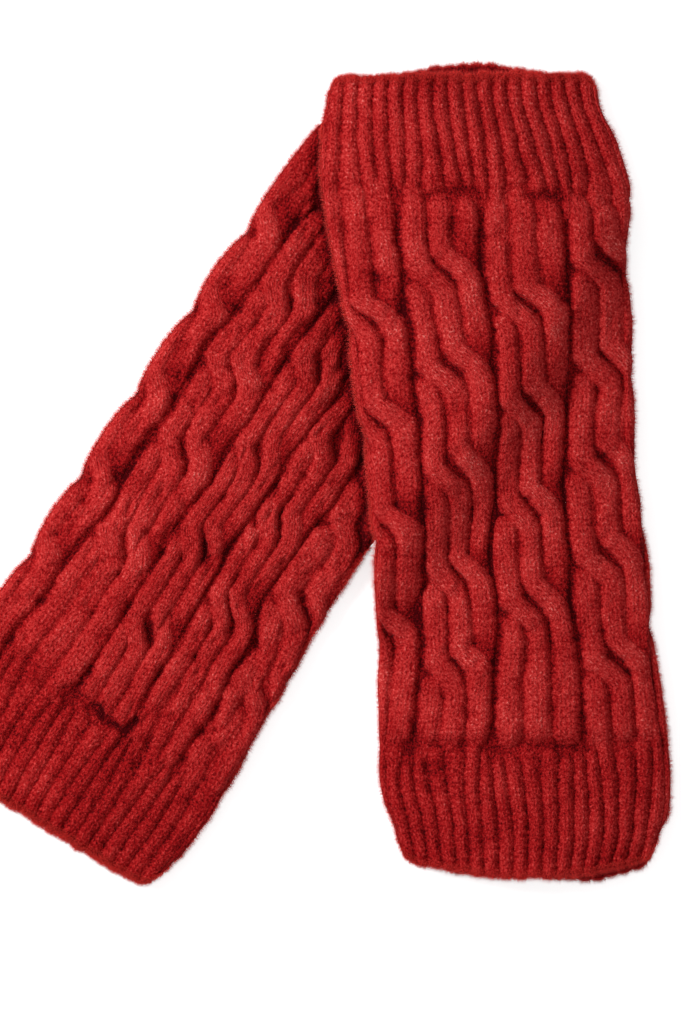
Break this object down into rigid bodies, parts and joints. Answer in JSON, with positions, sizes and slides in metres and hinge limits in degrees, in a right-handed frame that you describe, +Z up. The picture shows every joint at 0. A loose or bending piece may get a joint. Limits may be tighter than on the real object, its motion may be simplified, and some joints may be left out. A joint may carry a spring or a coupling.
{
  "type": "pair of leg warmers",
  "caption": "Pair of chunky cable-knit leg warmers with ribbed cuffs, laid flat, one lying across the top end of the other.",
  "frame": {"origin": "middle of the pair's footprint, on the surface that it lies on", "axes": "+X to the right across the upper leg warmer, +Y towards its top rim, +Z up from the surface"},
  "size_m": [0.3369, 0.3669, 0.0216],
  "materials": {
    "cable_knit": "brushed red wool in thick cables, matt and fuzzy",
    "rib_knit": "brushed red wool in one by one rib, matt and fuzzy"
  },
  "bodies": {
    "root": {"upper_top_cuff": "rib_knit", "upper_body": "cable_knit", "upper_bottom_cuff": "rib_knit", "lower_top_cuff": "rib_knit", "lower_body": "cable_knit", "lower_bottom_cuff": "rib_knit"}
  },
  "joints": []
}
